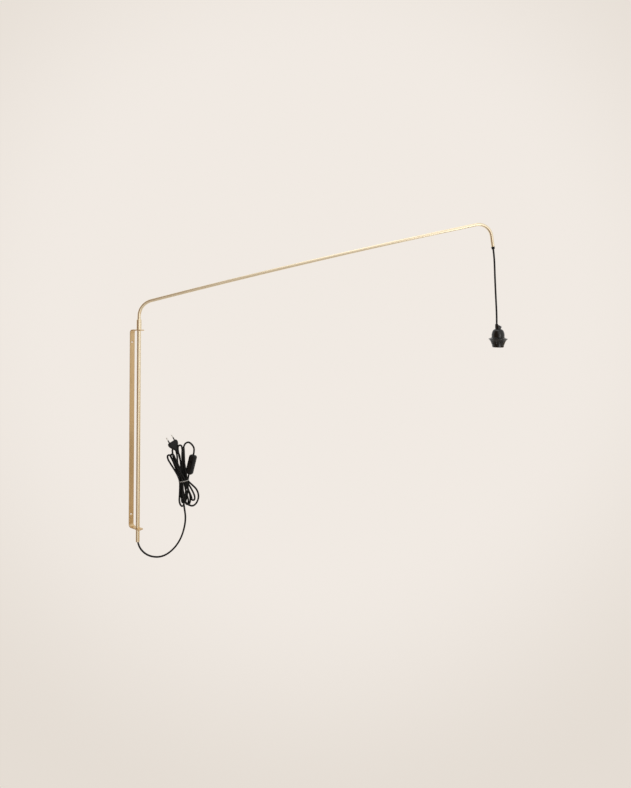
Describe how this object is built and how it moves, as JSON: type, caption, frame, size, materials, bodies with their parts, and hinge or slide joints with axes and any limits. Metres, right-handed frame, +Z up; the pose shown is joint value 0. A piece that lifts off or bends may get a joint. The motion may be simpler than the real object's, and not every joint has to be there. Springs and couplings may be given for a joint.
{
  "type": "swing arm wall lamp",
  "caption": "Swing arm wall lamp: folded brass wall bracket, tube arm turning in its lugs, hanging black screw lampholder with shade ring, corded switch and plug.",
  "frame": {"origin": "midway between the two wall holes, on the back face of the bracket's flat bar", "axes": "+Y into the wall, the room is on the side of -Y, +Z up, +X along the wall to the side that the arm is swung to at rest"},
  "size_m": [0.6777, 0.9774, 1.048],
  "materials": {
    "brass": "polished",
    "gloss_black": "gloss",
    "matte_black": "satin",
    "flex": "satin",
    "screw_steel": "zinc plated",
    "contact_metal": "plain",
    "ceramic": "matte",
    "pin_nickel": "nickel plated",
    "tie_grey": "matte"
  },
  "bodies": {
    "bracket": {"wall_bracket": "brass", "mains_cord": "flex", "cord_hank": "flex", "hank_tie": "tie_grey", "switch_back_shell": "matte_black", "switch_front_shell": "matte_black", "rocker_pin": "screw_steel", "switch_contacts": "contact_metal", "switch_screws": "screw_steel", "plug_body": "matte_black", "plug_pins": "pin_nickel", "plug_pin_sleeves": "matte_black"},
    "swing_arm": {"mast_tube": "brass", "sleeve_collar": "brass", "sleeve_grub_screw": "screw_steel", "arm_tube": "brass", "cord_in_tubes": "flex", "arm_end_bush": "matte_black", "mast_end_bush": "matte_black", "pendant_cord": "flex", "holder_skirt": "gloss_black", "shade_ring": "gloss_black", "holder_dome": "gloss_black", "cord_grip": "gloss_black", "grip_screw": "screw_steel", "screw_shell": "contact_metal", "contact_block": "ceramic", "centre_contact": "contact_metal", "terminal_screws": "screw_steel"},
    "rocker": {"switch_rocker": "matte_black"}
  },
  "joints": [
    {"name": "arm_swing", "type": "hinge", "parent": "bracket", "child": "swing_arm", "pos_m": [0, -0.034, 0], "axis": [0, 0, 1], "range_deg": [-124, 54]},
    {"name": "rocker_tilt", "type": "hinge", "parent": "bracket", "child": "rocker", "pos_m": [0.09069, -0.17042, -0.10806], "axis": [0.3272, -0.9185, -0.2222], "range_deg": [-14, 0]}
  ]
}
